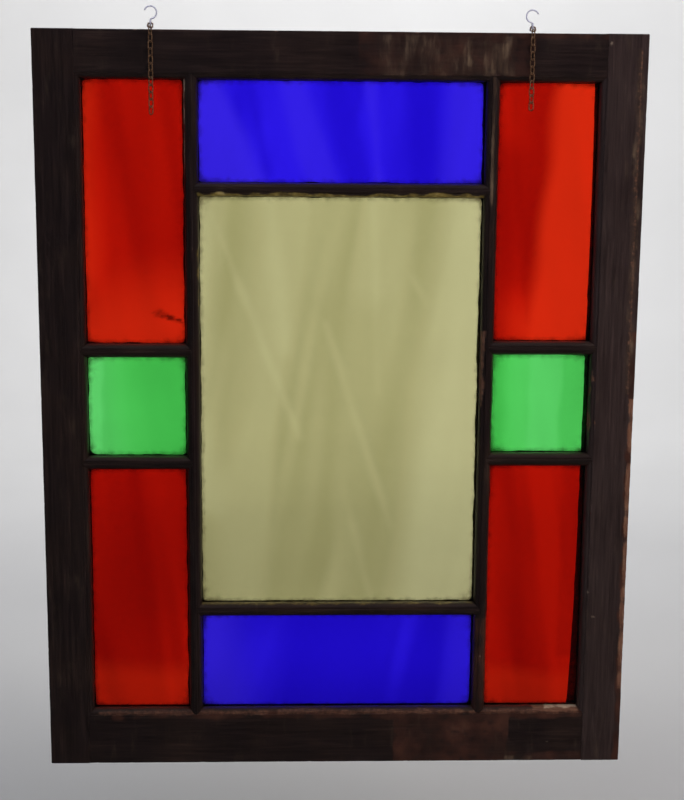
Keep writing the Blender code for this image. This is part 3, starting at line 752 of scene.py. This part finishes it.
def wear(node, points, nearness, seed):
    """How deep the wood is gone at each point, and how strongly each mask shows there."""
    sink = FLAT_SINK * (0.5 + 0.5 * rough(points, SINK_SIZE, seed))
    rub = ARRIS_RUB * nearness * np.clip(0.6 + 0.8 * rough(points, RUB_SIZE, seed + 1), 0, None)
    knock = np.clip(rough(points, KNOCK_SIZE, seed + 2) - KNOCK_RARITY, 0, None) * nearness
    amount = sink + rub + KNOCK_DEPTH * knock
    masks = {name: np.zeros(len(points)) for name in WOOD_MASKS}
    masks["bare"] = np.clip(knock * 2.2 - 0.15, 0, 0.8)
    for number, mark in enumerate(WEAR_AND_PAINTED_LIGHT):
        if mark.node != node:
            continue
        thinnest = min(np.array(mark.high) - np.array(mark.low))
        soft = min(MARK_SOFTNESS, 0.6 * thinnest)
        shape = in_box(points, mark.low, mark.high, soft, seed + 10 + number)
        masks[mark.shows] = np.maximum(masks[mark.shows], mark.strength * shape)
        uneven = 0.7 + 0.5 * rough(points, MARK_GRAIN, seed + 40 + number)
        amount = amount + mark.depth * shape * uneven
    for speck in SPECKS:
        if speck.node == node:
            gap = np.linalg.norm(points - np.array((speck.x, sash_front, speck.z)), axis=1)
            shape = np.exp(-((gap / speck.radius) ** 2))
            masks["pale"] = np.maximum(masks["pale"], speck.strength * shape)
    return amount, masks


def add_member(node, upright, section, base, direction, coped, arrises, wood, seed):
    """A length of moulded wood, drawn ring by ring, sunk and knocked as old wood is."""
    points, normals, rings = member_rings(node, upright, section, base, direction, coped)
    nearness = np.tile(arris_nearness(section, arrises), rings)
    amount, masks = wear(node, points, nearness, seed)
    if not coped:
        inset = np.zeros(rings)
        inset[[0, -1]] = END_INSETS[0]
        inset[[1, -2]] = END_INSETS[1]
        amount = amount + np.repeat(inset, len(section))
    points = points - normals * np.clip(amount, 0, None)[:, None]
    sides = len(section)
    faces = ring_faces(rings, sides, False)
    faces.append(tuple(range(sides)))
    faces.append(tuple(range((rings - 1) * sides, rings * sides)))
    mesh = painted_mesh("worn_" + node, points.tolist(), faces, masks, 50)
    stand_for(add_object("worn_" + node, mesh, wood), node)


def add_frame(upright_wood, level_wood):
    """Two stiles that run the full height, and two rails between them."""
    for seed, (node, upright) in enumerate(
        (("stile_left", True), ("stile_right", True), ("rail_top", False), ("rail_bottom", False))
    ):
        low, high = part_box(node)
        width = high.x - low.x if upright else high.z - low.z
        face = width - MOULDING_WIDTH
        from_low = node in ("stile_left", "rail_bottom")
        edge_low, edge_high = (low.x, high.x) if upright else (low.z, high.z)
        sight = face + MOULDING_WIDTH
        arrises = [
            (0.0, 0.0),
            (0.0, SASH_THICKNESS),
            (face, 0.0),
            (face, SASH_THICKNESS),
            (sight, QUIRK_DEPTH + OVOLO_DEPTH),
        ]
        add_member(
            node,
            upright,
            frame_section(face),
            edge_low if from_low else edge_high,
            1 if from_low else -1,
            not upright,
            arrises,
            upright_wood if upright else level_wood,
            10 * seed + 1,
        )


def add_bars(upright_wood, level_wood):
    """Two upright glazing bars from rail to rail, and six short ones between."""
    uprights = ["muntin_left", "muntin_right"]
    columns = ("left", "centre", "right")
    levels = [f"bar_{column}_{level}" for column in columns for level in ("upper", "lower")]
    for seed, node in enumerate(uprights + levels):
        upright = node in uprights
        low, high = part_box(node)
        width = high.x - low.x if upright else high.z - low.z
        middle = (low.x + high.x) / 2 if upright else (low.z + high.z) / 2
        face = width / 2 - MOULDING_WIDTH
        arrises = []
        for side in (-1, 1):
            arrises.append((side * face, 0.0))
            arrises.append((side * face, SASH_THICKNESS))
            arrises.append((side * width / 2, QUIRK_DEPTH + OVOLO_DEPTH))
        wood = upright_wood if upright else level_wood
        add_member(node, upright, bar_section(width), middle, 1, True, arrises, wood, 10 * seed + 60)


def shaded(places, shade, seed):
    """How far each place along X and Z lies in a shade, from 0 to 1, with a soft wandering edge."""
    beyond = np.maximum(np.array(shade.low) - places, places - np.array(shade.high))
    inside = -np.minimum(beyond.max(axis=1), 0) - np.linalg.norm(np.clip(beyond, 0, None), axis=1)
    flat = np.stack([places[:, 0], np.zeros(len(places)), places[:, 1]], axis=1)
    wander = 0.4 * shade.soft * rough(flat, 3 * shade.soft, seed)
    share = np.clip((inside + wander) / shade.soft + 0.5, 0, 1)
    return share * share * (3 - 2 * share)


def pane_masks(node, points, low, high, seed):
    """Grime and painted shade at the edges and corners that show, and painted light, shade and dark patches.
    """
    x_gap = np.minimum(points[:, 0] - low.x, high.x - points[:, 0]) - WALL_TO_SIGHT
    z_gap = np.minimum(points[:, 2] - low.z, high.z - points[:, 2]) - WALL_TO_SIGHT
    x_gap = np.clip(x_gap, 0, None)
    z_gap = np.clip(z_gap, 0, None)
    edge = np.exp(-np.minimum(x_gap, z_gap) / EDGE_DARKENING) * EDGE_DARKENING_SHOWS
    corner = np.exp(-(x_gap + z_gap) / CORNER_DARKENING) * CORNER_DARKENING_SHOWS
    masks = {name: np.zeros(len(points)) for name in GLASS_MASKS}
    masks["grime_and_shade"] = np.clip(edge + corner, 0, 1)
    for number, shade in enumerate(SHADES):
        if shade.node == node:
            upright = np.stack([points[:, 0] - shade.lean * points[:, 2], points[:, 2]], axis=1)
            shape = shaded(upright, shade, seed + number)
            masks[shade.shows] = np.maximum(masks[shade.shows], shade.strength * shape)
    return masks


def add_pane(node, glass, seed):
    """A pane of slightly wavy sheet glass with square cut edges."""
    low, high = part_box(node)
    columns = round((high.x - low.x) / GLASS_CELL)
    rows = round((high.z - low.z) / GLASS_CELL)
    xs = np.linspace(low.x, high.x, columns + 1)
    zs = np.linspace(low.z, high.z, rows + 1)
    points = []
    for side, y in enumerate((low.y, high.y)):
        inward = 1 if side == 0 else -1
        sheet = np.array([(x, y, z) for z in zs for x in xs])
        stretched = sheet * np.array((1.0, 1.0, 0.4))
        wave = 0.5 + 0.5 * rough(stretched, WAVE_SIZE, seed + side)
        sheet[:, 1] += inward * GLASS_WAVE * 2 * wave
        points.extend(sheet.tolist())
    wide = columns + 1
    back = wide * (rows + 1)
    faces = []
    for row in range(rows):
        for column in range(columns):
            a = row * wide + column
            faces.append((a, a + 1, a + wide + 1, a + wide))
            faces.append((back + a, back + a + wide, back + a + wide + 1, back + a + 1))
    rim = list(range(columns))
    rim += [row * wide + columns for row in range(rows)]
    rim += [rows * wide + column for column in range(columns, 0, -1)]
    rim += [row * wide for row in range(rows, 0, -1)]
    for a, b in zip(rim, rim[1:] + rim[:1]):
        faces.append((a, b, back + b, back + a))
    masks = pane_masks(node, np.array(points), low, high, seed)
    mesh = painted_mesh("wavy_" + node, points, faces, masks, 40)
    stand_for(add_object("wavy_" + node, mesh, glass), node)


def putty_line(left, right, bottom, top, seed):
    """Points round the sight rectangle with rounded corners, each with its outward way."""
    line = []
    corners = []
    for number, (side_x, side_z) in enumerate(((1, -1), (1, 1), (-1, 1), (-1, -1))):
        radius = PUTTY_CORNER * (1 + 1.2 * noise.noise(Vector((seed * 1.7, number * 2.3, 0.4))))
        x = right - radius if side_x > 0 else left + radius
        z = top - radius if side_z > 0 else bottom + radius
        corners.append((x, z, radius, -90 + 90 * number))
    for number, (x, z, radius, start) in enumerate(corners):
        for step in range(5):
            angle = math.radians(start + 90 * step / 4)
            way = (math.cos(angle), math.sin(angle))
            line.append((x + radius * way[0], z + radius * way[1], *way))
        here, end_way = line[-1][:2], line[-1][2:]
        next_x, next_z, next_radius, _ = corners[(number + 1) % 4]
        target = (next_x + next_radius * end_way[0], next_z + next_radius * end_way[1])
        count = round(math.dist(here, target) / PUTTY_STEP)
        for step in range(1, count):
            share = step / count
            x_here = here[0] + (target[0] - here[0]) * share
            z_here = here[1] + (target[1] - here[1]) * share
            line.append((x_here, z_here, *end_way))
    return line


def putty_over(way_x, way_z, z, smeared):
    """How far putty laps over the glass past the sight line, by the side that it runs along."""
    sideways = PUTTY_OVER_RIGHT if way_x > 0 else PUTTY_OVER_LEFT
    if smeared and way_x > 0:
        share = (sash_top - z) / sash_height
        sideways += PUTTY_SMEAR * share + PUTTY_SMEAR_ENDS * (share - SMEAR_MIDDLE) ** 4
    upright = PUTTY_OVER_TOP if way_z > 0 else PUTTY_OVER_BOTTOM
    return sideways * abs(way_x) + upright * way_z**2


def putty_edge(x, z, way_x, way_z, sight_right, smeared, seed):
    """Where the putty's ragged thin edge lies on the glass, by a point of the sight line."""
    coarse = noise.noise(Vector((x, seed, z)) / PUTTY_WANDER)
    lumps = noise.noise(Vector((x, seed + 4, z)) / PUTTY_LUMP)
    fine = noise.noise(Vector((x, seed + 9, z)) / PUTTY_CRUMB)
    uneven = coarse + 0.5 * lumps + 0.3 * fine
    overlap = max(PUTTY_LEAST, putty_over(way_x, way_z, z, smeared) + PUTTY_RAGGED * uneven)
    inner_x, inner_z = x - way_x * overlap, z - way_z * overlap
    if smeared:
        inner_x = min(inner_x, sight_right - putty_over(1.0, 0.0, z, smeared))
    return inner_x, inner_z


def add_putty(node, putty, seed):
    """A hand-knifed fillet: ragged where it meets the glass, lumpy on its slope."""
    low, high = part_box(node)
    sight_left, sight_right = low.x + WALL_TO_SIGHT, high.x - WALL_TO_SIGHT
    sight_bottom, sight_top = low.z + WALL_TO_SIGHT, high.z - WALL_TO_SIGHT
    line = putty_line(sight_left, sight_right, sight_bottom, sight_top, seed)
    smeared = sight_right > RIGHT_COLUMN
    points = []
    for x, z, way_x, way_z in line:
        inner_x, inner_z = putty_edge(x, z, way_x, way_z, sight_right, smeared, seed)
        runs = []
        if way_x:
            runs.append(((high.x if way_x > 0 else low.x) - inner_x) / way_x)
        if way_z:
            runs.append(((high.z if way_z > 0 else low.z) - inner_z) / way_z)
        run = min(value for value in runs if value > 0)
        for share in SLOPE_SHARES:
            rise = math.sqrt(share) * SLOPE_BULGE + share * (1 - SLOPE_BULGE)
            lump = noise.noise(Vector((x, share * 0.02 + seed, z)) / SLOPE_LUMP)
            height = rise * SLOPE_FULL + SLOPE_UNEVEN * lump * (share > 0)
            deep = (high.y - low.y) * min(1.0, max(0.0, height))
            points.append((inner_x + way_x * run * share, low.y + deep, inner_z + way_z * run * share))
        lip = max(0.0, 1 - PUTTY_LIP / run)
        points.append((inner_x + way_x * run * lip, high.y, inner_z + way_z * run * lip))
        outer_x, outer_z = inner_x + way_x * run, inner_z + way_z * run
        points.append((outer_x, high.y, outer_z))
        points.append((outer_x, low.y, outer_z))
    faces = ring_faces(len(line), len(SLOPE_SHARES) + 3, True)
    mesh = painted_mesh("knifed_" + node, points, faces, {}, 45)
    stand_for(add_object("knifed_" + node, mesh, putty), node)


def wire(name, points, diameter, ends, metal, closed=False):
    """A round wire along points. Its ends give how far each cut end is rounded off."""
    curve = bpy.data.curves.new(name, "CURVE")
    curve.dimensions = "3D"
    curve.bevel_depth = diameter / 2
    curve.bevel_resolution = 6
    curve.use_fill_caps = not closed
    spline = curve.splines.new("POLY")
    spline.points.add(len(points) - 1)
    for target, point in zip(spline.points, points):
        target.co = (*point, 1.0)
    for number, size in enumerate(ends):
        spline.points[number].radius = size
        spline.points[-1 - number].radius = size
    spline.use_cyclic_u = closed
    spline.use_smooth = True
    return add_object(name, curve, metal)


def circle_part(centre, sideways, radius, start, end, steps):
    """Points on an upright circle, from one angle in degrees to another."""
    points = []
    for step in range(steps + 1):
        angle = math.radians(start + (end - start) * step / steps)
        upward = Vector((0.0, 0.0, radius * math.sin(angle)))
        points.append(centre + sideways * (radius * math.cos(angle)) + upward)
    return points


def bridge(start, start_way, end, end_way, steps):
    """Points between two ends on a smooth curve that leaves and arrives in the given ways."""
    span = (end - start).length
    points = []
    for step in range(1, steps):
        t = step / steps
        points.append(
            start * (2 * t**3 - 3 * t**2 + 1)
            + start_way * span * (t**3 - 2 * t**2 + t)
            + end * (3 * t**2 - 2 * t**3)
            + end_way * span * (t**3 - t**2)
        )
    return points


def rounded_ends(points, wire_width):
    """The points with three more near each end, where the wire narrows to a rounded tip."""
    first, second = points[0], points[1]
    last, before = points[-1], points[-2]
    opening = (second - first).normalized()
    closing = (before - last).normalized()
    head = [first + opening * wire_width * step for step in TIP_PLACES]
    tail = [last + closing * wire_width * step for step in reversed(TIP_PLACES)]
    return head + points[1:-1] + tail


def add_screw_eye(node, x, metal):
    """A shank in the top edge, bent at its upper end into a ring that faces the front."""
    foot = Vector((x, 0.0, sash_top - EYE_SHANK))
    neck = Vector((x, 0.0, sash_top + EYE_WIRE / 2))
    centre = Vector((x, 0.0, sash_top + EYE_HEIGHT))
    ring = circle_part(centre, Vector((1.0, 0.0, 0.0)), EYE_RADIUS, *EYE_TURN, 40)
    neck_way = Vector((0.0, 0.0, 1.0))
    ring_way = (ring[1] - ring[0]).normalized()
    turn = bridge(neck, neck_way, ring[0], ring_way, 6)
    points = rounded_ends([foot, neck, *turn, *ring], EYE_WIRE)
    piece = wire("bent_" + node, points, EYE_WIRE, TIP_SIZES, metal)
    stand_for(piece, node)


def add_hook(node, x, outward, metal):
    """A small loop through the eye's ring, and a wide bow turned a quarter from it."""
    inward = Vector((-outward, 0.0, 0.0))
    backward = Vector((0.0, 1.0, 0.0))
    loop_centre = Vector((x, 0.0, sash_top + LOOP_HEIGHT))
    bow_centre = Vector((x, 0.0, sash_top + BOW_HEIGHT))
    loop = circle_part(loop_centre, backward, LOOP_RADIUS, *LOOP_TURN, 48)
    bow = circle_part(bow_centre, inward, BOW_RADIUS, *BOW_TURN, 48)
    loop_way = (loop[-1] - loop[-2]).normalized()
    bow_way = (bow[1] - bow[0]).normalized()
    neck = bridge(loop[-1], loop_way, bow[0], bow_way, 8)
    points = rounded_ends(loop + neck + bow, HOOK_WIRE)
    piece = wire("bent_" + node, points, HOOK_WIRE, TIP_SIZES, metal)
    stand_for(piece, node)


def add_link(node, metal):
    """An oval link bent from wire, with its butt joint in the middle of one long side."""
    corners = np.array([vertex.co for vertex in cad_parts[node].data.vertices])
    middle = (corners.max(axis=0) + corners.min(axis=0)) / 2
    _, _, ways = np.linalg.svd(corners - corners.mean(axis=0), full_matrices=False)
    up, across = Vector(ways[0]), Vector(ways[1])
    centre = Vector(middle)
    end_radius = (LINK_WIDTH + LINK_WIRE) / 2
    half_straight = LINK_LENGTH / 2 - end_radius
    points = [centre + across * end_radius + up * (LINK_JOINT / 2)]
    for turn_centre, start in ((half_straight, 0), (-half_straight, 180)):
        for step in range(17):
            angle = math.radians(start + 180 * step / 16)
            height = turn_centre + end_radius * math.sin(angle)
            points.append(centre + across * (end_radius * math.cos(angle)) + up * height)
    points.append(centre + across * end_radius - up * (LINK_JOINT / 2))
    piece = wire("bent_" + node, points, LINK_WIRE, (), metal)
    stand_for(piece, node)


add_camera()
add_room(pale_paint())
add_lights()

upright_pine = stained_pine("stained_pine_upright", True)
level_pine = stained_pine("stained_pine_level", False)
add_frame(upright_pine, level_pine)
add_bars(upright_pine, level_pine)

glass = {
    "red": coloured_glass("red_sheet_glass", "#a20802", "#d01605", "#ff3614", 8),
    "green": coloured_glass("green_sheet_glass", "#4ad054", "#5ae665", "#7dff8c", 5),
    "blue": coloured_glass("blue_sheet_glass", "#220ce4", "#301aff", "#402aff", -12),
    "pale": coloured_glass("straw_sheet_glass", "#b5b178", "#c6c28a", "#dcd9a2", -8),
}
putty_mix = old_putty()
for seed, node in enumerate(sorted(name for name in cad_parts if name.startswith("glass_"))):
    colour = node.split("_")[1]
    add_pane(node, glass[colour], 200 + 10 * seed)
    add_putty(node.replace("glass_", "putty_"), putty_mix, 3 + seed)

zinc = drawn_wire("zinc_plated_wire", "#d6d7e4", "#f4f4ff", 0.4, 0.6, 3 * MM, 0.12)
brass = drawn_wire("tarnished_brass_wire", "#6a4c36", "#b28c68", 0.4, 0.6, 2 * MM, 0.55)
for side, outward in (("left", -1), ("right", 1)):
    add_screw_eye("screw_eye_" + side, outward * HOOK_X, zinc)
    add_hook("hook_" + side, outward * HOOK_X, outward, zinc)
for node in sorted(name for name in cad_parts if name.startswith("chain_")):
    add_link(node, brass)
